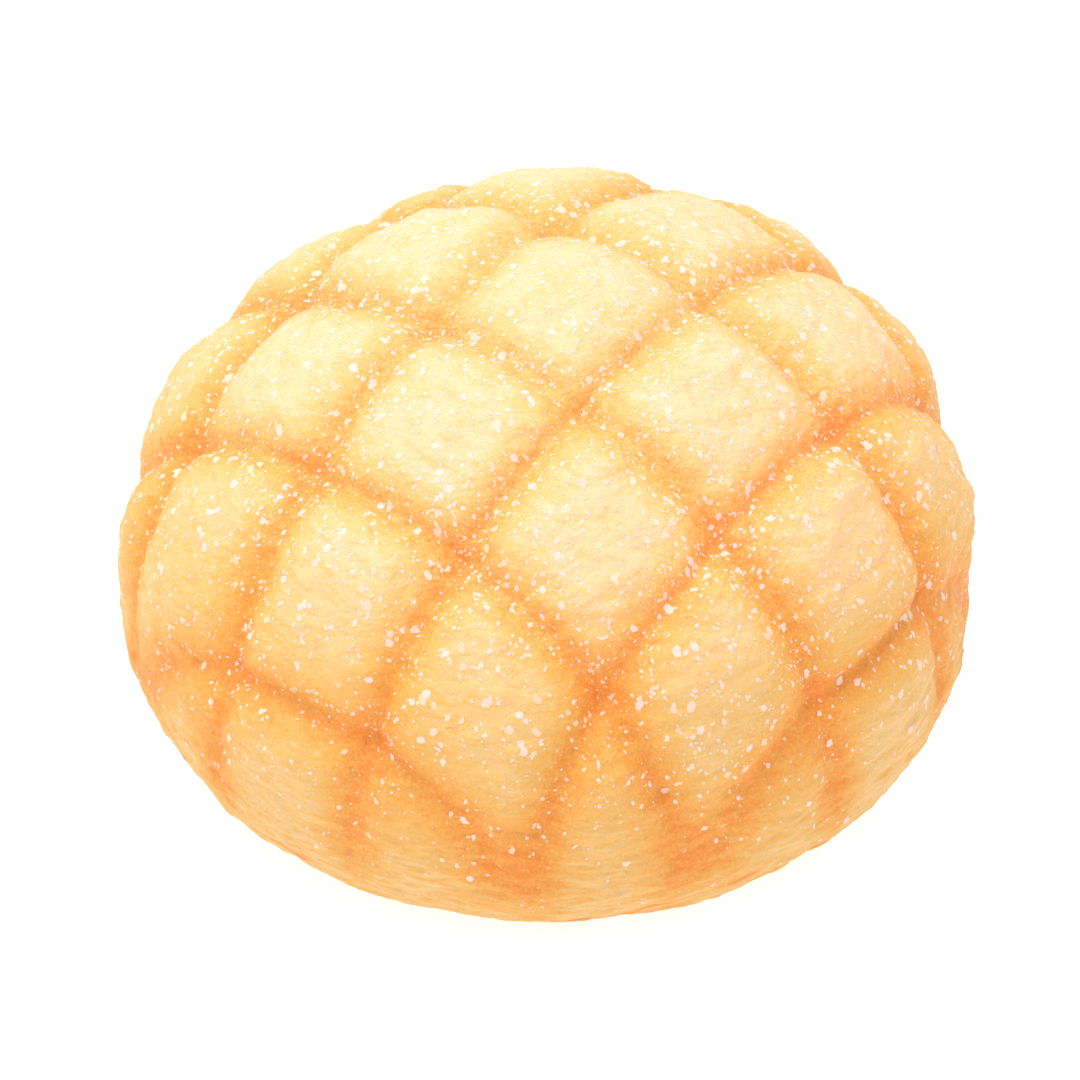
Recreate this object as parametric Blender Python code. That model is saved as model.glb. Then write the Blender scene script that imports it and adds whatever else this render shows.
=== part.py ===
"""Melon pan bun: a soft moulded toy copy of the sweet roll, in one solid.

A ball is drawn out into a low dome, marked with two families of grooves that cross at a right
angle, and cut flat at the base. Each groove is a narrow cut at the bottom of a wide soft hollow,
so the crust between the grooves stands up in pillows. The grooves fade out above the base.
Units are metres, +Z is up, and the bun stands on z = 0 with its middle on the Z axis.
"""

import math

import bmesh
import bpy
from mathutils import Vector, noise

MM = 0.001

COLLECTION = "melon_pan_bun"
BUN = "bun"

# The dome. Its side is an ellipse above the widest ring and a squarer curve below it, and its
# top sits a little to one side of the base's middle.
RADIUS = 55.4 * MM
HEIGHT = 62.7 * MM
WIDEST_HEIGHT = 21.5 * MM
BASE_RADIUS = 47.0 * MM
BELLY_POWER = 3.0
TOP_LEAN = Vector((3.2 * MM, 1.6 * MM))

# Each groove lies in a plane, as a blade pressed in from above leaves it. The planes of one
# family fan out a little, from a line FAN_DEPTH below the base. Each groove is given as its
# distance from the Z axis at the height of the dome's top (mm), its lean from its family's
# direction (degrees), and its bow: how far it has bent BOW_REACH along from its middle (mm).
# A family's angle is that of the direction across its grooves, from +X.
FAN_DEPTH = 250 * MM
BOW_REACH = 40 * MM
GROOVES_DOWN_RIGHT = ((45, 2, 0), (17.6, 0, 0), (-9.2, 1.4, 0), (-34.7, 1.7, 0), (-58.5, -1.4, 5))
GROOVES_DOWN_LEFT = (
    (60, 0, -6), (37, 1.5, 0), (12.2, 0, 0), (-13.6, -0.4, 0), (-38.4, -1.4, 0), (-60, -1, 7),
)
FAMILIES = (
    (math.radians(51.5), GROOVES_DOWN_RIGHT),
    (math.radians(141.5), GROOVES_DOWN_LEFT),
)

# The cut: how deep it is, how round its floor is, and how far out its flanks reach.
CUT_DEPTH = 1.9 * MM
CUT_FLOOR = 0.8 * MM
CUT_FLANK = 1.6 * MM
# The soft hollow that the cut lies in.
HOLLOW_DEPTH = 1.1 * MM
HOLLOW_WIDTH = 5.5 * MM
# Two grooves that cross go no deeper than one when this is 1, and twice as deep when it is 0.
CROSSING_SHARE = 0.45
# The grooves rise out of the plain band above the base between these heights.
FADE_FROM = 5 * MM
FADE_TO = 34 * MM

# One shoulder of the dome is pressed a little flat: where, how deep and how far around.
FLAT_SPOT = Vector((-31 * MM, 36 * MM, 43 * MM))
FLAT_DEPTH = 1.4 * MM
FLAT_WIDTH = 16 * MM

# Hand-made unevenness: soft lumps all over, and grooves that wander from their planes.
LUMP_SIZE = 17 * MM
LUMP_HEIGHT = 0.9 * MM
WANDER_LENGTH = 14 * MM
WANDER = 0.5 * MM
FAMILY_SHIFT = 10

# The ball is drawn much finer than the solid needs, so that thinning it out leaves its
# triangles where the grooves are.
SPHERE_SUBDIVISIONS = 7
TRIANGLES_KEPT = 0.122

CRUST_COLOUR = (0.93, 0.62, 0.24, 1.0)
CRUST_ROUGHNESS = 0.6


def clear_scene():
    for obj in list(bpy.data.objects):
        bpy.data.objects.remove(obj, do_unlink=True)


def new_collection(name):
    collection = bpy.data.collections.new(name)
    bpy.context.scene.collection.children.link(collection)
    return collection


def smoothstep(low, high, value):
    share = min(max((value - low) / (high - low), 0.0), 1.0)
    return share * share * (3 - 2 * share)


def dome_point(direction):
    """The bare dome's point for a unit direction from the middle of its widest ring."""
    if direction.z >= 0:
        reach = RADIUS * math.sqrt(max(1 - direction.z**2, 0))
        height = WIDEST_HEIGHT + (HEIGHT - WIDEST_HEIGHT) * direction.z
    else:
        depth = WIDEST_HEIGHT / (1 - (BASE_RADIUS / RADIUS) ** BELLY_POWER) ** (1 / BELLY_POWER)
        drop = -direction.z
        reach = RADIUS * max(1 - drop**BELLY_POWER, 0) ** (1 / BELLY_POWER)
        height = WIDEST_HEIGHT - depth * drop
    flat = Vector(direction.xy)
    if flat.length > 0:
        flat.normalize()
    flat = flat * reach + TOP_LEAN * (height / HEIGHT) ** 2
    return Vector((flat.x, flat.y, height))


def groove_shares(point, normal, angle, grooves):
    """How deep one family's cuts and hollows reach here, each from 0 to about 1."""
    across = Vector((math.cos(angle), math.sin(angle), 0))
    along = Vector((-across.y, across.x, 0))
    fan = (HEIGHT + FAN_DEPTH) / (point.z + FAN_DEPTH)
    wander = WANDER * noise.noise(point / WANDER_LENGTH + along * FAMILY_SHIFT)
    place = point.dot(across) * fan + wander
    run = point.dot(along)
    # On a slope that faces away, a step across the planes is a longer step on the surface.
    slope = across * fan - Vector((0, 0, place / (point.z + FAN_DEPTH)))
    stretch = slope.cross(normal).length
    cut = 0.0
    hollow = 0.0
    for offset, lean, bow in grooves:
        middle = offset * MM + math.tan(math.radians(lean)) * run + bow * MM * (run / BOW_REACH) ** 2
        distance = (place - middle) / stretch
        past_floor = math.hypot(distance, CUT_FLOOR) - CUT_FLOOR
        cut += math.exp(-past_floor / CUT_FLANK)
        hollow += math.exp(-((distance / HOLLOW_WIDTH) ** 2))
    return cut, hollow


def crossed(first, second):
    """Two families' shares together, less some of what they share where grooves cross."""
    return first + second - CROSSING_SHARE * first * second


def relief(point, normal):
    """How far the finished surface stands above the bare dome here."""
    first, second = (groove_shares(point, normal, *family) for family in FAMILIES)
    cut, hollow = (crossed(*pair) for pair in zip(first, second))
    fade = smoothstep(FADE_FROM, FADE_TO, point.z)
    lump = LUMP_HEIGHT * noise.noise(point / LUMP_SIZE)
    pressed = FLAT_DEPTH * math.exp(-(((point - FLAT_SPOT).length / FLAT_WIDTH) ** 2))
    return lump - pressed - (CUT_DEPTH * cut + HOLLOW_DEPTH * hollow) * fade


def bun_mesh():
    shape = bmesh.new()
    bmesh.ops.create_icosphere(shape, subdivisions=SPHERE_SUBDIVISIONS, radius=1.0)
    for vertex in shape.verts:
        vertex.co = dome_point(vertex.co.normalized())
    shape.normal_update()
    moved = [vertex.co + vertex.normal * relief(vertex.co, vertex.normal) for vertex in shape.verts]
    for vertex, place in zip(shape.verts, moved):
        vertex.co = place
    centre_on_axis(shape)
    for face in shape.faces:
        face.smooth = True
    mesh = bpy.data.meshes.new(BUN)
    shape.to_mesh(mesh)
    shape.free()
    return mesh


def centre_on_axis(shape):
    across = [vertex.co.x for vertex in shape.verts]
    deep = [vertex.co.y for vertex in shape.verts]
    middle = Vector((max(across) + min(across), max(deep) + min(deep), 0)) / 2
    for vertex in shape.verts:
        vertex.co -= middle


def crust_material():
    material = bpy.data.materials.new("foam_crust")
    material.use_nodes = True
    shader = material.node_tree.nodes["Principled BSDF"]
    shader.inputs["Base Color"].default_value = CRUST_COLOUR
    shader.inputs["Roughness"].default_value = CRUST_ROUGHNESS
    return material


def base_cutter(collection):
    """A block whose top face is z = 0, to cut the bun flat."""
    bpy.ops.mesh.primitive_cube_add(size=4 * RADIUS, location=(0, 0, -2 * RADIUS))
    cutter = bpy.context.object
    cutter.name = "base_cutter"
    cutter.hide_render = True
    cutter.display_type = "WIRE"
    for old in list(cutter.users_collection):
        old.objects.unlink(cutter)
    collection.objects.link(cutter)
    return cutter


def build():
    clear_scene()
    bun = bpy.data.objects.new(BUN, bun_mesh())
    new_collection(COLLECTION).objects.link(bun)
    bun.data.materials.append(crust_material())

    thinned = bun.modifiers.new("Fewer triangles", "DECIMATE")
    thinned.ratio = TRIANGLES_KEPT

    flat = bun.modifiers.new("Flat base", "BOOLEAN")
    flat.operation = "DIFFERENCE"
    flat.object = base_cutter(new_collection("cutters"))


build()
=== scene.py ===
"""Looks of the melon pan bun: a moulded foam copy, sprayed in cream and orange, flecked with paint."""

import math

import bpy
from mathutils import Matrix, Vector


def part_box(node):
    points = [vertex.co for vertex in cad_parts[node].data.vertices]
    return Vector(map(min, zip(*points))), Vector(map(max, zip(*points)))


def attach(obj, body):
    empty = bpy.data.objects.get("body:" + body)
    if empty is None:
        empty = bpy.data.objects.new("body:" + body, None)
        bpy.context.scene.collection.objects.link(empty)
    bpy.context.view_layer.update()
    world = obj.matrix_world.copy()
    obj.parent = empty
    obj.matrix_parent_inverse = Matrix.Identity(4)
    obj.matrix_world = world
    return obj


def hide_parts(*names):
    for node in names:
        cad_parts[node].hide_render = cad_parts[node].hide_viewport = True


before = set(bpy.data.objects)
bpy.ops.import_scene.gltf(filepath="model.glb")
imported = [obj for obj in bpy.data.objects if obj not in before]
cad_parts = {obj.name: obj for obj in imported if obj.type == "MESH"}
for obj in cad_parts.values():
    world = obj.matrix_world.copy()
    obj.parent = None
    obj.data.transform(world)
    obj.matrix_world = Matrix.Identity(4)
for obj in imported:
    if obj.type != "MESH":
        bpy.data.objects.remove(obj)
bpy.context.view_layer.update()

MM = 0.001
BODY = "root"
CAD_BUN = "bun"

MATH = "ShaderNodeMath"
VECTOR = "ShaderNodeVectorMath"
NOISE = "ShaderNodeTexNoise"
RANGE = "ShaderNodeMapRange"
STORE = "GeometryNodeStoreNamedAttribute"

# The dome, as the CAD solid has it. Above the widest ring its side is an ellipse, below it a
# squarer curve, and its top sits a little to one side of the base's middle.
RADIUS = 55.4 * MM
HEIGHT = 62.7 * MM
WIDEST_HEIGHT = 21.5 * MM
BASE_RADIUS = 47.0 * MM
BELLY_POWER = 3.0
BELLY_DEPTH = WIDEST_HEIGHT / (1 - (BASE_RADIUS / RADIUS) ** BELLY_POWER) ** (1 / BELLY_POWER)
TOP_LEAN = (3.2 * MM, 1.6 * MM, 0)
BASE_ROUND = 1.6 * MM

# Each groove lies in a plane, and the planes of one family fan out a little from a line
# FAN_DEPTH below the base. A groove is its distance from the Z axis at the height of the
# dome's top (mm), its lean from its family's direction (degrees), and its bow: how far it has
# bent BOW_REACH along from its middle (mm). A family's angle is that of the direction across
# its grooves, from +X.
FAN_DEPTH = 250 * MM
BOW_REACH = 40
GROOVES_DOWN_RIGHT = ((45, 2, 0), (17.6, 0, 0), (-9.2, 1.4, 0), (-34.7, 1.7, 0), (-58.5, -1.4, 5))
GROOVES_DOWN_LEFT = (
    (60, 0, -6), (37, 1.5, 0), (12.2, 0, 0), (-13.6, -0.4, 0), (-38.4, -1.4, 0), (-60, -1, 7),
)
FAMILIES = (
    (math.radians(51.5), GROOVES_DOWN_RIGHT),
    (math.radians(141.5), GROOVES_DOWN_LEFT),
)

# Points along each side of the cube that the bun is drawn from
MESH_STEPS = 128


def linear(hex_colour):
    """An sRGB hex colour as the linear RGBA that a shader takes."""
    channels = [int(hex_colour[i:i + 2], 16) / 255 for i in (1, 3, 5)]
    return [c / 12.92 if c <= 0.04045 else ((c + 0.055) / 1.055) ** 2.4 for c in channels] + [1.0]


def add(tree, kind, inputs=(), stops=(), **settings):
    """Adds a node with its settings and a ramp's (place, hex colour) stops, and links or sets its
    shown inputs, in order or by name."""
    node = tree.nodes.new(kind)
    for name, value in settings.items():
        setattr(node, name, value)
    for index, (place, colour) in enumerate(stops):
        if index == len(node.color_ramp.elements):
            node.color_ramp.elements.new(place)
        node.color_ramp.elements[index].position = place
        node.color_ramp.elements[index].color = linear(colour)
    shown = [socket for socket in node.inputs if socket.enabled]
    if isinstance(inputs, dict):
        pairs = [(next(s for s in shown if s.name == name), value) for name, value in inputs.items()]
    else:
        pairs = list(zip(shown, inputs))
    for socket, value in pairs:
        if isinstance(value, bpy.types.Node):
            value = next(s for s in value.outputs if s.enabled)
        if isinstance(value, bpy.types.NodeSocket):
            tree.links.new(value, socket)
        elif value is not None:
            socket.default_value = value
    return node


def new_tree(name, sizes):
    """A Geometry Nodes tree with a named input for each size, and its Group Input's sockets by name."""
    tree = bpy.data.node_groups.new(name, "GeometryNodeTree")
    tree.interface.new_socket("Geometry", in_out="INPUT", socket_type="NodeSocketGeometry")
    tree.interface.new_socket("Geometry", in_out="OUTPUT", socket_type="NodeSocketGeometry")
    for label, value in sizes.items():
        if isinstance(value, bpy.types.Material):
            kind = "NodeSocketMaterial"
        elif isinstance(value, tuple):
            kind = "NodeSocketVector"
        elif isinstance(value, int):
            kind = "NodeSocketInt"
        else:
            kind = "NodeSocketFloat"
        tree.interface.new_socket(label, in_out="INPUT", socket_type=kind)
    start = add(tree, "NodeGroupInput")
    return tree, {socket.name: socket for socket in start.outputs}


def grown(name, tree, sizes, mesh):
    """Runs a Geometry Nodes tree on a mesh and gives its result as an object with a plain mesh."""
    piece = bpy.data.objects.new(name, mesh)
    bpy.context.scene.collection.objects.link(piece)
    modifier = piece.modifiers.new(name, "NODES")
    modifier.node_group = tree
    for item in tree.interface.items_tree:
        if item.in_out == "INPUT" and item.name in sizes:
            modifier[item.identifier] = sizes[item.name]
    graph = bpy.context.evaluated_depsgraph_get()
    made = bpy.data.meshes.new_from_object(
        piece.evaluated_get(graph), preserve_all_data_layers=True, depsgraph=graph
    )
    piece.modifiers.remove(modifier)
    piece.data = made
    made.name = name
    return piece


# ---------------------------------------------------------------- the bun's shape

BUN_SIZES = {
    "Steps": MESH_STEPS,
    "Radius": RADIUS,
    "Height": HEIGHT,
    "Widest Height": WIDEST_HEIGHT,
    "Belly Depth": BELLY_DEPTH,
    "Belly Power": BELLY_POWER,
    "Top Lean": TOP_LEAN,
    "Base Round": BASE_ROUND,
    "Fan Depth": FAN_DEPTH,
    "Cut Depth": 1.9 * MM,
    "Cut Floor": 0.8 * MM,
    "Cut Flank": 1.6 * MM,
    "Pillow Depth": 1.1 * MM,
    "Pillow Width": 5.5 * MM,
    "Spray Width": 3.5 * MM,
    "Drift Width": 8.0 * MM,
    "Crossing Share": 0.45,
    "Flat Spot": (-31 * MM, 36 * MM, 43 * MM),
    "Flat Depth": 1.4 * MM,
    "Flat Width": 16 * MM,
    "Fade From": 5 * MM,
    "Fade To": 34 * MM,
    "Wander": 0.5 * MM,
    "Wander Size": 14 * MM,
    "Lump Height": 0.9 * MM,
    "Lump Size": 17 * MM,
    "Skin Height": 0.48 * MM,
    "Skin Size": 3.2 * MM,
    "Plain Below": 4 * MM,
}
# The spray's drift starts between these places across a groove, towards its outer side.
DRIFT_EDGE = (-1.5 * MM, 2.5 * MM)
# Dents in the skin are drawn out round the bun, so their noise is squeezed upwards.
SKIN_SQUEEZE = (0.75, 0.75, 1.5)


def dome_place(tree, size):
    """Where each point of the starting cube goes on the bare dome."""
    # The tangent spreads a cube's points evenly over a ball, and the turn lines them up with
    # the grooves, so that each groove runs along a row of points.
    quarter = add(tree, VECTOR, (add(tree, "GeometryNodeInputPosition"), math.pi / 4), operation="SCALE")
    spread = add(tree, VECTOR, (quarter,), operation="TANGENT")
    unit = add(tree, VECTOR, (spread,), operation="NORMALIZE")
    ball = add(tree, "ShaderNodeVectorRotate", {"Vector": unit, "Angle": FAMILIES[0][0]},
               rotation_type="Z_AXIS")
    part = add(tree, "ShaderNodeSeparateXYZ", (ball,))
    rise = add(tree, MATH, (part.outputs["Z"], 0.0), operation="MAXIMUM")
    under = add(tree, MATH, (part.outputs["Z"], -1.0), operation="MULTIPLY")
    drop = add(tree, MATH, (under, 0.0), operation="MAXIMUM")

    above = add(tree, MATH, (add(tree, MATH, (rise, rise), operation="MULTIPLY"), -1.0, 1.0),
                operation="MULTIPLY_ADD")
    upper = add(tree, MATH, (above,), operation="SQRT")
    below = add(tree, MATH, (add(tree, MATH, (drop, size["Belly Power"]), operation="POWER"), -1.0, 1.0),
                operation="MULTIPLY_ADD")
    root = add(tree, MATH, (1.0, size["Belly Power"]), operation="DIVIDE")
    lower = add(tree, MATH, (add(tree, MATH, (below, 0.0), operation="MAXIMUM"), root), operation="POWER")
    profile = add(tree, MATH, (upper, lower), operation="MULTIPLY")
    reach = add(tree, MATH, (profile, size["Radius"]), operation="MULTIPLY")

    crown = add(tree, MATH, (size["Height"], size["Widest Height"]), operation="SUBTRACT")
    raised = add(tree, MATH, (rise, crown, size["Widest Height"]), operation="MULTIPLY_ADD")
    sunk = add(tree, MATH, (drop, size["Belly Depth"]), operation="MULTIPLY")
    level = add(tree, MATH, (raised, sunk), operation="SUBTRACT")
    height = add(tree, MATH, (level, 0.0, size["Base Round"]), operation="SMOOTH_MAX")

    flat = add(tree, "ShaderNodeCombineXYZ", (part.outputs["X"], part.outputs["Y"], 0.0))
    heading = add(tree, VECTOR, (flat,), operation="NORMALIZE")
    side = add(tree, VECTOR, {"Vector": heading, "Scale": reach}, operation="SCALE")
    share = add(tree, MATH, (height, size["Height"]), operation="DIVIDE")
    lean_share = add(tree, MATH, (share, 2.0), operation="POWER")
    lean = add(tree, VECTOR, {"Vector": size["Top Lean"], "Scale": lean_share}, operation="SCALE")
    up = add(tree, "ShaderNodeCombineXYZ", (0.0, 0.0, height))
    outward = add(tree, VECTOR, (side, lean), operation="ADD")
    return add(tree, VECTOR, (outward, up), operation="ADD")


def bell(tree, distance, width):
    """1 on a groove's line, falling to nothing about two widths away."""
    steps = add(tree, MATH, (distance, width), operation="DIVIDE")
    squared = add(tree, MATH, (steps, steps), operation="MULTIPLY")
    return add(tree, MATH, (add(tree, MATH, (squared, -1.0), operation="MULTIPLY"),), operation="EXPONENT")


def family_shares(tree, size, angle, grooves):
    """What one family of grooves does at a point of the bare dome, from 0 to 1: its cut, its
    pillows' sides, its spray and the spray's drift."""
    across = (math.cos(angle), math.sin(angle), 0)
    along = (-math.sin(angle), math.cos(angle), 0)
    point = add(tree, "GeometryNodeInputPosition")
    normal = add(tree, "GeometryNodeInputNormal")
    height = add(tree, "ShaderNodeSeparateXYZ", (point,)).outputs["Z"]
    above_fan = add(tree, MATH, (height, size["Fan Depth"]), operation="ADD")
    top_above_fan = add(tree, MATH, (size["Height"], size["Fan Depth"]), operation="ADD")
    fan = add(tree, MATH, (top_above_fan, above_fan), operation="DIVIDE")

    often = add(tree, MATH, (1.0, size["Wander Size"]), operation="DIVIDE")
    drift = add(tree, NOISE, {"W": angle, "Vector": point, "Scale": often, "Detail": 0.0},
                noise_dimensions="4D", normalize=False)
    wander = add(tree, MATH, (drift, size["Wander"]), operation="MULTIPLY")
    over = add(tree, VECTOR, (point, across), operation="DOT_PRODUCT")
    place = add(tree, MATH, (over, fan, wander), operation="MULTIPLY_ADD")
    run = add(tree, VECTOR, (point, along), operation="DOT_PRODUCT")
    run_squared = add(tree, MATH, (run, run), operation="MULTIPLY")

    # On a slope that faces away, a step across the planes is a longer step on the surface.
    tilt = add(tree, MATH, (add(tree, MATH, (place, above_fan), operation="DIVIDE"), -1.0),
               operation="MULTIPLY")
    slope = add(tree, VECTOR, (add(tree, VECTOR, {"Vector": across, "Scale": fan}, operation="SCALE"),
                               add(tree, "ShaderNodeCombineXYZ", (0.0, 0.0, tilt))), operation="ADD")
    stretch = add(tree, VECTOR, (add(tree, VECTOR, (slope, normal), operation="CROSS_PRODUCT"),),
                  operation="LENGTH")

    shares = [0.0, 0.0, 0.0, 0.0]
    for offset, lean, bow in grooves:
        leaning = add(tree, MATH, (run, -math.tan(math.radians(lean)), place), operation="MULTIPLY_ADD")
        bent = add(tree, MATH, (run_squared, -bow / BOW_REACH ** 2 / MM, leaning), operation="MULTIPLY_ADD")
        past_middle = add(tree, MATH, (bent, offset * MM), operation="SUBTRACT")
        distance = add(tree, MATH, (past_middle, stretch), operation="DIVIDE")
        reach = add(tree, VECTOR, (add(tree, "ShaderNodeCombineXYZ", (distance, size["Cut Floor"], 0.0)),),
                    operation="LENGTH")
        past_floor = add(tree, MATH, (size["Cut Floor"], reach), operation="SUBTRACT")
        flank = add(tree, MATH, (add(tree, MATH, (past_floor, size["Cut Flank"]), operation="DIVIDE"),),
                    operation="EXPONENT")
        # The spray drifts further on a groove's outer side, where the dome falls away.
        inner, outer = (math.copysign(1, offset) * edge for edge in DRIFT_EDGE)
        outwards = add(tree, RANGE, (distance, inner, outer))
        drift_share = add(tree, MATH, (bell(tree, distance, size["Drift Width"]), outwards),
                          operation="MULTIPLY")
        pillow = bell(tree, distance, size["Pillow Width"])
        added = (flank, pillow, bell(tree, distance, size["Spray Width"]), drift_share)
        shares = [add(tree, MATH, (new, old), operation="ADD") for new, old in zip(added, shares)]
    return shares


def crossed(tree, size, first, second):
    """Two families' shares together, less some of what they share where grooves cross."""
    both = add(tree, MATH, (first, second), operation="MULTIPLY")
    overlap = add(tree, MATH, (both, size["Crossing Share"]), operation="MULTIPLY")
    together = add(tree, MATH, (first, second), operation="ADD")
    return add(tree, MATH, (together, overlap), operation="SUBTRACT")


def relief(tree, size, cut, pillow):
    """How far the finished surface stands above the bare dome."""
    point = add(tree, "GeometryNodeInputPosition")
    height = add(tree, "ShaderNodeSeparateXYZ", (point,)).outputs["Z"]
    fade = add(tree, RANGE, (height, size["Fade From"], size["Fade To"], 0.0, 1.0),
               interpolation_type="SMOOTHSTEP")
    depth = add(tree, MATH, (cut, size["Cut Depth"], add(tree, MATH, (pillow, size["Pillow Depth"]),
                                                         operation="MULTIPLY")), operation="MULTIPLY_ADD")
    grooves = add(tree, MATH, (depth, fade), operation="MULTIPLY")

    lump_rate = add(tree, MATH, (1.0, size["Lump Size"]), operation="DIVIDE")
    lump_noise = add(tree, NOISE, {"Vector": point, "Scale": lump_rate, "Detail": 1.0}, normalize=False)
    lumps = add(tree, MATH, (lump_noise, size["Lump Height"]), operation="MULTIPLY")
    skin_rate = add(tree, MATH, (1.0, size["Skin Size"]), operation="DIVIDE")
    squeezed = add(tree, VECTOR, (point, SKIN_SQUEEZE), operation="MULTIPLY")
    skin_noise = add(tree, NOISE, {"Vector": squeezed, "Scale": skin_rate, "Detail": 1.5, "Roughness": 0.45,
                                   "Distortion": 0.4}, normalize=False)
    uneven = add(tree, MATH, (skin_noise, size["Skin Height"], lumps), operation="MULTIPLY_ADD")
    # The base stays flat.
    off_base = add(tree, RANGE, (height, 0.0, size["Plain Below"], 0.0, 1.0),
                   interpolation_type="SMOOTHSTEP")
    bumps = add(tree, MATH, (uneven, off_base), operation="MULTIPLY")
    # One shoulder of the dome is pressed a little flat.
    away = add(tree, VECTOR, (point, size["Flat Spot"]), operation="DISTANCE")
    pressed = add(tree, MATH, (bell(tree, away, size["Flat Width"]), size["Flat Depth"]),
                  operation="MULTIPLY")
    sunk = add(tree, MATH, (grooves, pressed), operation="ADD")
    return add(tree, MATH, (bumps, sunk), operation="SUBTRACT")


def bun_tree(material):
    """Shapes a cube into the bun, and keeps on its points how much spray each groove has left."""
    tree, size = new_tree("moulded_bun", {**BUN_SIZES, "Material": material})
    cube = add(tree, "GeometryNodeMeshCube",
               ((2, 2, 2), size["Steps"], size["Steps"], size["Steps"])).outputs["Mesh"]
    dome = add(tree, "GeometryNodeSetPosition", {"Geometry": cube, "Position": dome_place(tree, size)})
    down_right, down_left = (family_shares(tree, size, *family) for family in FAMILIES)
    cut, pillow, spray, drift = (crossed(tree, size, *pair) for pair in zip(down_right, down_left))
    marked = add(tree, STORE, {"Geometry": dome, "Name": "spray", "Value": spray}, data_type="FLOAT")
    marked = add(tree, STORE, {"Geometry": marked, "Name": "drift", "Value": drift}, data_type="FLOAT")
    push = add(tree, VECTOR, {"Vector": add(tree, "GeometryNodeInputNormal"),
                              "Scale": relief(tree, size, cut, pillow)}, operation="SCALE")
    shaped = add(tree, "GeometryNodeSetPosition", {"Geometry": marked, "Offset": push})
    smooth = add(tree, "GeometryNodeSetShadeSmooth", {"Geometry": shaped})
    whole = add(tree, "GeometryNodeRealizeInstances", {"Geometry": smooth})
    painted = add(tree, "GeometryNodeSetMaterial", {"Geometry": whole, "Material": size["Material"]})
    add(tree, "NodeGroupOutput", (painted,))
    return tree


def centred_on(piece, box):
    """Moves a piece's mesh sideways so that its middle is the box's."""
    low, high = box
    xs = [vertex.co.x for vertex in piece.data.vertices]
    ys = [vertex.co.y for vertex in piece.data.vertices]
    middle = Vector((max(xs) + min(xs), max(ys) + min(ys), 0)) / 2
    goal = Vector((low.x + high.x, low.y + high.y, 0)) / 2
    piece.data.vertices.foreach_set(
        "co", [c for vertex in piece.data.vertices for c in vertex.co + goal - middle]
    )
    piece.data.update()


# ---------------------------------------------------------------- the paint flecks

# Droplets of white paint flicked from above. Each kind: its widths (mm), how many lie on a
# square centimetre of the dome's top, how much longer than wide, how ragged its edge is (mm),
# its sides, its rings of faces and its seed.
FLECK_KINDS = {
    "mist_flecks": {"Least": 0.16, "Most": 0.34, "Per Area": 55, "Longer": 1.6, "Ragged": 0.08,
                    "Sides": 5, "Rings": 1, "Seed": 3},
    "round_flecks": {"Least": 0.32, "Most": 0.62, "Per Area": 36, "Longer": 1.6, "Ragged": 0.16,
                     "Sides": 9, "Rings": 1, "Seed": 11},
    "blot_flecks": {"Least": 0.58, "Most": 1.20, "Per Area": 9.5, "Longer": 1.6, "Ragged": 0.30,
                    "Sides": 14, "Rings": 2, "Seed": 23},
    "comet_flecks": {"Least": 0.22, "Most": 0.46, "Per Area": 7, "Longer": 3.2, "Ragged": 0.14,
                     "Sides": 8, "Rings": 2, "Seed": 37},
}
FLECK_SIZES = {
    "Least": 0.2 * MM,
    "Most": 0.4 * MM,
    "Per Area": 1.0,
    "Longer": 1.0,
    "Ragged": 0.1 * MM,
    "Ragged Size": 0.45 * MM,
    "Clump Size": 5 * MM,
    "Turn": 0.9,
    "Sides": 6,
    "Rings": 1,
    "Seed": 0,
    "Thickness": 0.10 * MM,
    "Sunk": 0.05 * MM,
    "Small Bias": 1.6,
    "Clumping": 1.6,
    "Sparse Share": 0.1,
    "None At": 1 * MM,
    "Densest At": 64 * MM,
    "Densest Share": 1.03,
    "Clear Below": 4 * MM,
}
# A drop is made one wide and then scaled. Its top is a little narrower than its foot.
DROP_TOP = 0.42
DROP_FOOT = 0.5
PER_SQUARE_CM = 1e4


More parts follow.
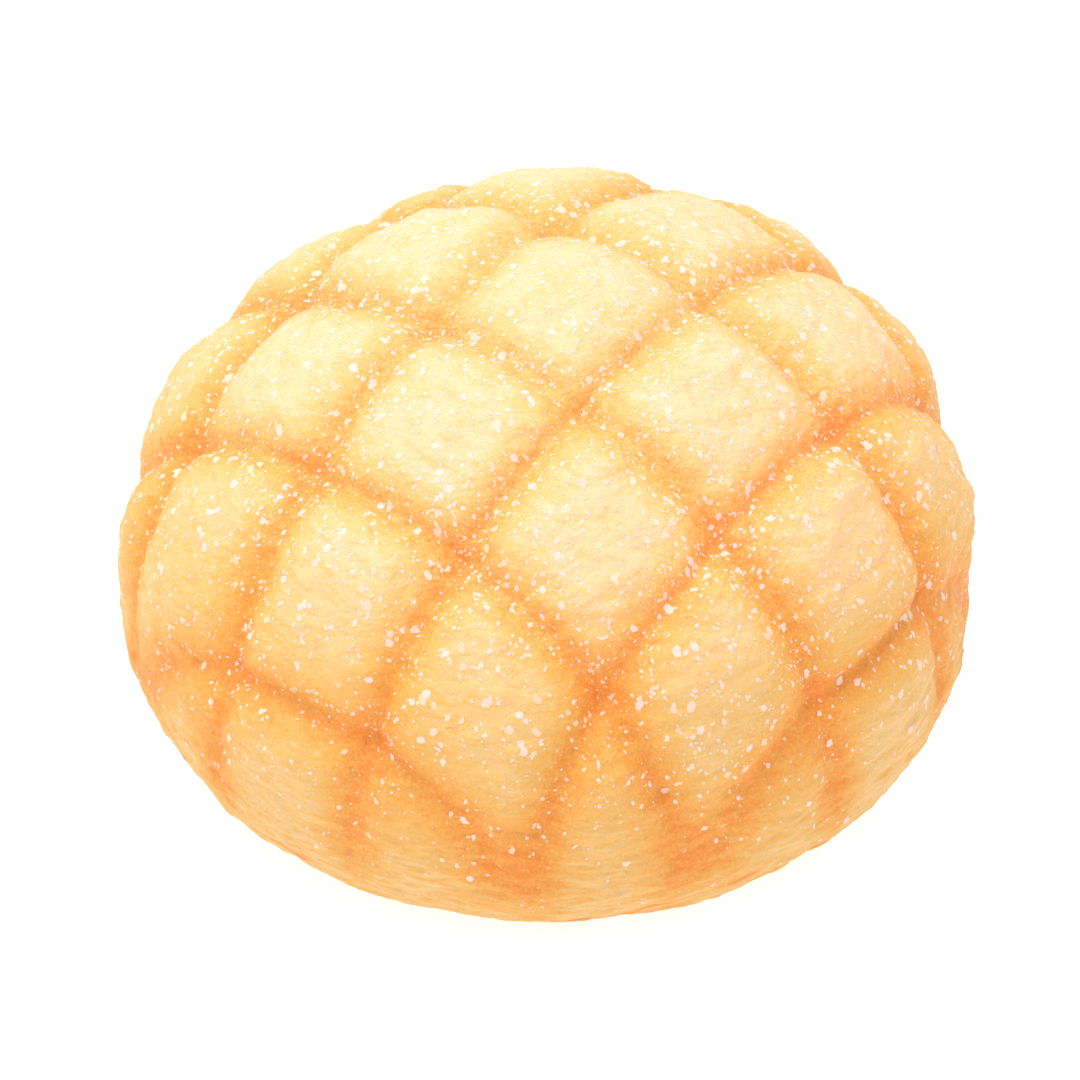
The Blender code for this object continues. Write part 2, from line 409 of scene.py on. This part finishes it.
def fleck_tree(material):
    """Scatters one kind of fleck over the bun's mesh and lays each one flat on it."""
    tree, size = new_tree("paint_flecks", {**FLECK_SIZES, "Material": material})
    bun = size["Geometry"]
    point = add(tree, "GeometryNodeInputPosition")
    height = add(tree, "ShaderNodeSeparateXYZ", (point,)).outputs["Z"]
    by_height = add(tree, RANGE, (height, size["None At"], size["Densest At"], 0.0, size["Densest Share"]),
                    interpolation_type="SMOOTHSTEP")
    clump_rate = add(tree, MATH, (1.0, size["Clump Size"]), operation="DIVIDE")
    clumps = add(tree, NOISE, {"W": size["Seed"], "Vector": point, "Scale": clump_rate, "Detail": 1.0},
                 noise_dimensions="4D", normalize=False)
    uneven = add(tree, MATH, (clumps, size["Clumping"], 1.0), operation="MULTIPLY_ADD")
    clumped = add(tree, MATH, (uneven, size["Sparse Share"]), operation="MAXIMUM")
    # No fleck lands on the lowest rim or under the base.
    above_base = add(tree, MATH, (height, size["Clear Below"]), operation="GREATER_THAN")
    thick = add(tree, MATH, (by_height, clumped), operation="MULTIPLY")
    thick = add(tree, MATH, (thick, above_base), operation="MULTIPLY")
    density = add(tree, MATH, (thick, size["Per Area"]), operation="MULTIPLY")
    drops = add(tree, "GeometryNodeDistributePointsOnFaces",
                {"Mesh": bun, "Density": density, "Seed": size["Seed"]}, distribute_method="RANDOM")

    # Small drops outnumber large ones.
    chance = add(tree, "FunctionNodeRandomValue", {"Min": 0.0, "Max": 1.0, "Seed": size["Seed"]},
                 data_type="FLOAT")
    bias = add(tree, MATH, (chance, size["Small Bias"]), operation="POWER")
    spread = add(tree, MATH, (size["Most"], size["Least"]), operation="SUBTRACT")
    width = add(tree, MATH, (bias, spread, size["Least"]), operation="MULTIPLY_ADD")
    stretch_seed = add(tree, MATH, (size["Seed"], 1.0), operation="ADD")
    longer = add(tree, "FunctionNodeRandomValue", {"Min": 1.0, "Max": size["Longer"], "Seed": stretch_seed},
                 data_type="FLOAT")
    long_way = add(tree, MATH, (width, longer), operation="MULTIPLY")
    scale = add(tree, "ShaderNodeCombineXYZ", (long_way, width, 1.0))

    # A drop is drawn out down the slope that it hit, give or take a turn.
    down_slope = add(tree, "FunctionNodeAlignRotationToVector",
                     {"Rotation": drops.outputs["Rotation"], "Vector": (0, 0, -1)}, axis="X", pivot_axis="Z")
    turn_seed = add(tree, MATH, (size["Seed"], 2.0), operation="ADD")
    other_way = add(tree, MATH, (size["Turn"], -1.0), operation="MULTIPLY")
    turn = add(tree, "FunctionNodeRandomValue", {"Min": other_way, "Max": size["Turn"], "Seed": turn_seed},
               data_type="FLOAT")
    turned = add(tree, "FunctionNodeRotateRotation",
                 {"Rotation": down_slope, "Rotate By": add(tree, "ShaderNodeCombineXYZ", (0.0, 0.0, turn))},
                 rotation_space="LOCAL")

    drop = add(tree, "GeometryNodeMeshCone",
               {"Vertices": size["Sides"], "Side Segments": 1, "Fill Segments": size["Rings"],
                "Radius Top": DROP_TOP, "Radius Bottom": DROP_FOOT, "Depth": size["Thickness"]},
               fill_type="TRIANGLE_FAN")
    flat_height = add(tree, "ShaderNodeSeparateXYZ", (add(tree, "GeometryNodeInputPosition"),)).outputs["Z"]
    rise = add(tree, MATH, (flat_height, size["Sunk"]), operation="SUBTRACT")
    drop = add(tree, STORE, {"Geometry": drop.outputs["Mesh"], "Name": "rise", "Value": rise},
               data_type="FLOAT")
    placed = add(tree, "GeometryNodeInstanceOnPoints",
                 {"Points": drops.outputs["Points"], "Instance": drop, "Rotation": turned, "Scale": scale})
    thin_seed = add(tree, MATH, (size["Seed"], 3.0), operation="ADD")
    thin = add(tree, "FunctionNodeRandomValue", {"Min": 0.0, "Max": 1.0, "Seed": thin_seed},
               data_type="FLOAT")
    marked = add(tree, STORE, {"Geometry": placed, "Name": "thin", "Value": thin}, data_type="FLOAT",
                 domain="INSTANCE")
    whole = add(tree, "GeometryNodeRealizeInstances", {"Geometry": marked})

    ragged_rate = add(tree, MATH, (1.0, size["Ragged Size"]), operation="DIVIDE")
    wobble = add(tree, NOISE, {"Vector": add(tree, "GeometryNodeInputPosition"), "Scale": ragged_rate,
                               "Detail": 1.0}, normalize=False)
    shift = add(tree, VECTOR, {"Vector": wobble.outputs["Color"], "Scale": size["Ragged"]},
                operation="SCALE")
    ragged = add(tree, "GeometryNodeSetPosition", {"Geometry": whole, "Offset": shift})
    here = add(tree, "GeometryNodeInputPosition")
    on_skin = add(tree, "GeometryNodeSampleNearestSurface",
                  {"Mesh": bun, "Value": add(tree, "GeometryNodeInputPosition"), "Sample Position": here},
                  data_type="FLOAT_VECTOR")
    upright = add(tree, "GeometryNodeSampleNearestSurface",
                  {"Mesh": bun, "Value": add(tree, "GeometryNodeInputNormal"), "Sample Position": here},
                  data_type="FLOAT_VECTOR")
    kept_rise = add(tree, "GeometryNodeInputNamedAttribute", {"Name": "rise"}, data_type="FLOAT")
    lift = add(tree, VECTOR, {"Vector": upright.outputs["Value"], "Scale": kept_rise}, operation="SCALE")
    landed = add(tree, VECTOR, (on_skin.outputs["Value"], lift), operation="ADD")
    laid = add(tree, "GeometryNodeSetPosition", {"Geometry": ragged, "Position": landed})
    painted = add(tree, "GeometryNodeSetMaterial", {"Geometry": laid, "Material": size["Material"]})
    add(tree, "NodeGroupOutput", (painted,))
    return tree


def flecks_on(bun, paint):
    """The flecks on the bun, one piece for each kind."""
    tree = fleck_tree(paint)
    pieces = []
    for name, kind in FLECK_KINDS.items():
        sizes = {**FLECK_SIZES, **kind, "Material": paint}
        sizes["Least"] = kind["Least"] * MM
        sizes["Most"] = kind["Most"] * MM
        sizes["Ragged"] = kind["Ragged"] * MM
        sizes["Per Area"] = kind["Per Area"] * PER_SQUARE_CM
        pieces.append(grown(name, tree, sizes, bun.data.copy()))
    return pieces


# ---------------------------------------------------------------- materials

# The crust's cream at the foot, the shoulder, the crown's edge and the top, darker lower down partly as
# painted shade for the lower sides that get less light, and the share of it that still shows under no spray,
# a mist, a coat and SPRAY_FULL.
CREAM_AND_SHADE_BY_LEVEL = ((0.2, "#E8BA7C"), (0.6, "#EEBC78"), (0.8, "#FAC896"), (1.0, "#FBCA9E"))
SPRAY_TINT = ((0.0, "#FAFFFF"), (0.1, "#FAF4D2"), (0.5, "#FDDE9C"), (1.0, "#FFBD75"))
SPRAY_FULL = 1.6
MOTTLE_SIZE = 1.6 * MM
DOT_SIZE = 0.35 * MM
DASH_SIZE = 1.3 * MM
SCUFF_SIZE = 1.2 * MM
GRAIN_SIZE = 1.5 * MM
GRAIN_HEIGHT = 0.13 * MM
# The line where the mould's halves met
PARTING_HEIGHT = 7.0 * MM
PARTING_WIDTH = 0.40 * MM
PARTING_WANDER = 4.0 * MM
PARTING_WANDER_SIZE = 26 * MM
PARTING_GAP_SIZE = 24 * MM
# How high up each of these shows: from one height to another, and how strong at each
CROWN_SPRAY = (50 * MM, 64 * MM, 1.0, 0.55)
BELLY_SPRAY = (34 * MM, 20 * MM, 1.0, 1.2)
FOOT_SPRAY = (6 * MM, 16 * MM, 0.15, 1.0)
BELLY_DRIFT = (42 * MM, 27 * MM, 0.0, 0.36)
FOOT_DRIFT = (9 * MM, 24 * MM, 0.1, 1.0)
DASHES_BY_HEIGHT = (10 * MM, 34 * MM, 0.38, 0.20)
SCUFFS_BY_HEIGHT = (12 * MM, 20 * MM, 0.45, 0.0)
EDGE_PAINT = (1.5 * MM, 0.6 * MM, 0.0, 0.45)
EDGE_NOT_UNDER = (0.02 * MM, 0.3 * MM, 0.0, 1.0)
# Which values of the noise leave scuffs and paint on the parting line, and how strong
SCUFF_CUT = (0.12, 0.5, 0.0, 1.0)
PARTING_GAPS = (-0.12, 0.15, 0.0, 1.4)
# How much each pattern adds
MOTTLE = 0.35
DOTS_IN_SPRAY = 0.50
DOTS_ALL_OVER = 0.14
# Dashes and scuffs are drawn out round the bun.
DASH_SQUEEZE = (0.35, 0.35, 1.5)
SCUFF_SQUEEZE = (0.22, 0.22, 1.3)
# Thick drops are white, and thin ones let the cream through.
FLECK_COLOUR = ((0.35, "#EDD1C3"), (1.0, "#EFC8A4"))


def sprayed_foam():
    """Polyurethane foam with a skin from its mould, airbrushed cream and orange: soft and dry, with
    hardly any gloss."""
    material = bpy.data.materials.new("sprayed_foam")
    material.use_nodes = True
    tree = material.node_tree
    tree.nodes.clear()
    place = add(tree, "ShaderNodeTexCoord").outputs["Object"]
    height = add(tree, "ShaderNodeSeparateXYZ", (place,)).outputs["Z"]
    level = add(tree, MATH, (height, 1 / HEIGHT), operation="MULTIPLY")

    # The cream of the crust, darker towards the foot: partly painted shade, for the lower sides that get
    # less light.
    cream = add(tree, "ShaderNodeValToRGB", (level,), stops=CREAM_AND_SHADE_BY_LEVEL)

    # The spray's own dots are too fine to show, so they are drawn a third of a millimetre wide.
    # It also breaks up into soft mottles a millimetre or two wide, and into dashes drawn round
    # the bun near its base.
    mottle = add(tree, NOISE, {"Vector": place, "Scale": 1 / MOTTLE_SIZE, "Detail": 4.0, "Roughness": 0.65},
                 normalize=False)
    dots = add(tree, NOISE, {"Vector": place, "Scale": 1 / DOT_SIZE, "Detail": 1.0}, normalize=False)
    drawn_out = add(tree, VECTOR, (place, DASH_SQUEEZE), operation="MULTIPLY")
    dashes = add(tree, NOISE, {"Vector": drawn_out, "Scale": 1 / DASH_SIZE, "Detail": 3.0, "Roughness": 0.6,
                               "Distortion": 0.5}, normalize=False)
    sprayed = add(tree, "ShaderNodeAttribute", attribute_name="spray").outputs["Fac"]
    crown = add(tree, RANGE, (height, *CROWN_SPRAY), interpolation_type="SMOOTHSTEP")
    foot = add(tree, RANGE, (height, *FOOT_SPRAY), interpolation_type="SMOOTHSTEP")
    belly = add(tree, RANGE, (height, *BELLY_SPRAY), interpolation_type="SMOOTHSTEP")
    thinned = add(tree, MATH, (crown, foot), operation="MULTIPLY")
    strength = add(tree, MATH, (thinned, belly), operation="MULTIPLY")
    amount = add(tree, MATH, (sprayed, strength), operation="MULTIPLY")
    drifted = add(tree, "ShaderNodeAttribute", attribute_name="drift").outputs["Fac"]
    drift_top = add(tree, RANGE, (height, *BELLY_DRIFT), interpolation_type="SMOOTHSTEP")
    drift_foot = add(tree, RANGE, (height, *FOOT_DRIFT), interpolation_type="SMOOTHSTEP")
    drift_here = add(tree, MATH, (drift_top, drift_foot), operation="MULTIPLY")
    drift = add(tree, MATH, (drifted, drift_here), operation="MULTIPLY")
    covered = add(tree, MATH, (amount, drift), operation="MULTIPLY")
    both = add(tree, MATH, (amount, drift), operation="ADD")
    laid = add(tree, MATH, (both, covered), operation="SUBTRACT")
    broken = add(tree, MATH, (mottle, MOTTLE, 1.0), operation="MULTIPLY_ADD")
    dotted = add(tree, MATH, (dots, DOTS_IN_SPRAY, broken), operation="MULTIPLY_ADD")
    mottled = add(tree, MATH, (laid, dotted), operation="MULTIPLY")
    low = add(tree, RANGE, (height, *DASHES_BY_HEIGHT), interpolation_type="SMOOTHSTEP")
    smeared = add(tree, MATH, (dashes, low, mottled), operation="MULTIPLY_ADD")
    patched = add(tree, MATH, (dots, DOTS_ALL_OVER, smeared), operation="MULTIPLY_ADD")
    # Orange scuffs, where the wet paint was rubbed along the foot of the bun.
    long_way = add(tree, VECTOR, (place, SCUFF_SQUEEZE), operation="MULTIPLY")
    rubs = add(tree, NOISE, {"Vector": long_way, "Scale": 1 / SCUFF_SIZE, "Detail": 4.0, "Roughness": 0.65,
                             "Distortion": 0.8}, normalize=False)
    rubbed = add(tree, RANGE, (rubs, *SCUFF_CUT))
    near_foot = add(tree, RANGE, (height, *SCUFFS_BY_HEIGHT), interpolation_type="SMOOTHSTEP")
    patched = add(tree, MATH, (rubbed, near_foot, patched), operation="MULTIPLY_ADD")
    # Paint has gathered along the parting line, in places, and round the very edge of the base,
    # but not under it. The dashes and scuffs run on under the base, as the foot's spray does.
    wavering = add(tree, NOISE, {"Vector": place, "Scale": 1 / PARTING_WANDER_SIZE, "Detail": 3.0},
                   normalize=False)
    wavered = add(tree, MATH, (wavering, PARTING_WANDER, height), operation="MULTIPLY_ADD")
    off_line = add(tree, MATH, (wavered, PARTING_HEIGHT), operation="SUBTRACT")
    line = bell(tree, off_line, PARTING_WIDTH)
    gathered = add(tree, NOISE, {"Vector": place, "Scale": 1 / PARTING_GAP_SIZE, "Detail": 2.0},
                   normalize=False)
    in_places = add(tree, RANGE, (gathered, *PARTING_GAPS), interpolation_type="SMOOTHSTEP")
    lined = add(tree, MATH, (line, in_places, patched), operation="MULTIPLY_ADD")
    edge = add(tree, RANGE, (height, *EDGE_PAINT), interpolation_type="SMOOTHSTEP")
    not_under = add(tree, RANGE, (height, *EDGE_NOT_UNDER))
    edged = add(tree, MATH, (edge, not_under, lined), operation="MULTIPLY_ADD")
    share = add(tree, MATH, (edged, 1 / SPRAY_FULL), operation="MULTIPLY")
    paint = add(tree, "ShaderNodeValToRGB", (share,), stops=SPRAY_TINT)
    coloured = add(tree, "ShaderNodeMix", {"Factor": 1.0, "A": cream, "B": paint}, data_type="RGBA",
                   blend_type="MULTIPLY")

    grain = add(tree, NOISE, {"Vector": place, "Scale": 1 / GRAIN_SIZE, "Detail": 4.0, "Roughness": 0.55},
                normalize=False)
    skin = add(tree, "ShaderNodeBump", {"Strength": 1.0, "Distance": GRAIN_HEIGHT, "Height": grain})
    shader = add(tree, "ShaderNodeBsdfPrincipled",
                 {"Base Color": coloured, "Roughness": 0.62, "IOR": 1.45, "Normal": skin})
    add(tree, "ShaderNodeOutputMaterial", (shader,))
    return material


def fleck_paint():
    """White acrylic paint, flicked on in drops: flat and matt, and thin drops let the cream through."""
    material = bpy.data.materials.new("flicked_acrylic_paint")
    material.use_nodes = True
    tree = material.node_tree
    tree.nodes.clear()
    thin = add(tree, "ShaderNodeAttribute", attribute_name="thin").outputs["Fac"]
    white = add(tree, "ShaderNodeValToRGB", (thin,), stops=FLECK_COLOUR)
    shader = add(tree, "ShaderNodeBsdfPrincipled", {"Base Color": white, "Roughness": 0.7, "IOR": 1.45})
    add(tree, "ShaderNodeOutputMaterial", (shader,))
    return material


# ---------------------------------------------------------------- the studio

TABLE_GLOW = 0.78
FLOOR_SIZE = 6
# Keeps the floor and the bun's flat base from lying in one plane
FLOOR_GAP = 0.05 * MM
ROOM_LIGHT = 0.88
CAMERA_ELEVATION = math.radians(43)
CAMERA_DISTANCE = 0.99
CAMERA_LENS = 256
CAMERA_AIM = Vector((-0.75 * MM, 0, 21.4 * MM))


def studio_floor():
    """A white acrylic table lit faintly from inside: it lifts the shade under the bun, as in a packshot."""
    material = bpy.data.materials.new("lit_acrylic_table")
    material.use_nodes = True
    shader = material.node_tree.nodes["Principled BSDF"]
    shader.inputs["Base Color"].default_value = linear("#BCBCBC")
    shader.inputs["Roughness"].default_value = 0.9
    shader.inputs["Emission Color"].default_value = linear("#FFFFFF")
    shader.inputs["Emission Strength"].default_value = TABLE_GLOW
    return material


def studio():
    """The table, a white room, one softbox and the camera."""
    bpy.ops.mesh.primitive_plane_add(size=FLOOR_SIZE, location=(0, 0, -FLOOR_GAP))
    floor = bpy.context.object
    floor.name = "floor"
    floor.data.materials.append(studio_floor())

    world = bpy.data.worlds.new("white_room")
    bpy.context.scene.world = world
    world.use_nodes = True
    world.node_tree.nodes["Background"].inputs["Color"].default_value = (1, 1, 1, 1)
    world.node_tree.nodes["Background"].inputs["Strength"].default_value = ROOM_LIGHT

    soft_light("overhead_softbox", place=(-0.2, 0.15, 0.92), width=0.7, watts=7)
    bpy.context.scene.view_settings.view_transform = "Standard"

    camera = bpy.data.objects.new("camera", bpy.data.cameras.new("camera"))
    bpy.context.scene.collection.objects.link(camera)
    back = Vector((0, -math.cos(CAMERA_ELEVATION), math.sin(CAMERA_ELEVATION)))
    camera.location = CAMERA_AIM + back * CAMERA_DISTANCE
    camera.rotation_euler = (math.pi / 2 - CAMERA_ELEVATION, 0, 0)
    camera.data.lens = CAMERA_LENS
    bpy.context.scene.camera = camera


def soft_light(name, place, width, watts):
    """A square softbox that faces the bun's base."""
    light = bpy.data.lights.new(name, "AREA")
    light.size = width
    light.energy = watts
    lamp = bpy.data.objects.new(name, light)
    bpy.context.scene.collection.objects.link(lamp)
    lamp.location = place
    lamp.rotation_euler = (-Vector(place)).to_track_quat("-Z", "Y").to_euler()


# ---------------------------------------------------------------- putting it together

def build():
    """Makes every piece, and gives each one its body."""
    foam = sprayed_foam()
    bun = grown("foam_bun", bun_tree(foam), {**BUN_SIZES, "Material": foam}, bpy.data.meshes.new("start"))
    centred_on(bun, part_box(CAD_BUN))
    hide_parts(CAD_BUN)
    for piece in [bun, *flecks_on(bun, fleck_paint())]:
        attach(piece, BODY)
    studio()


build()
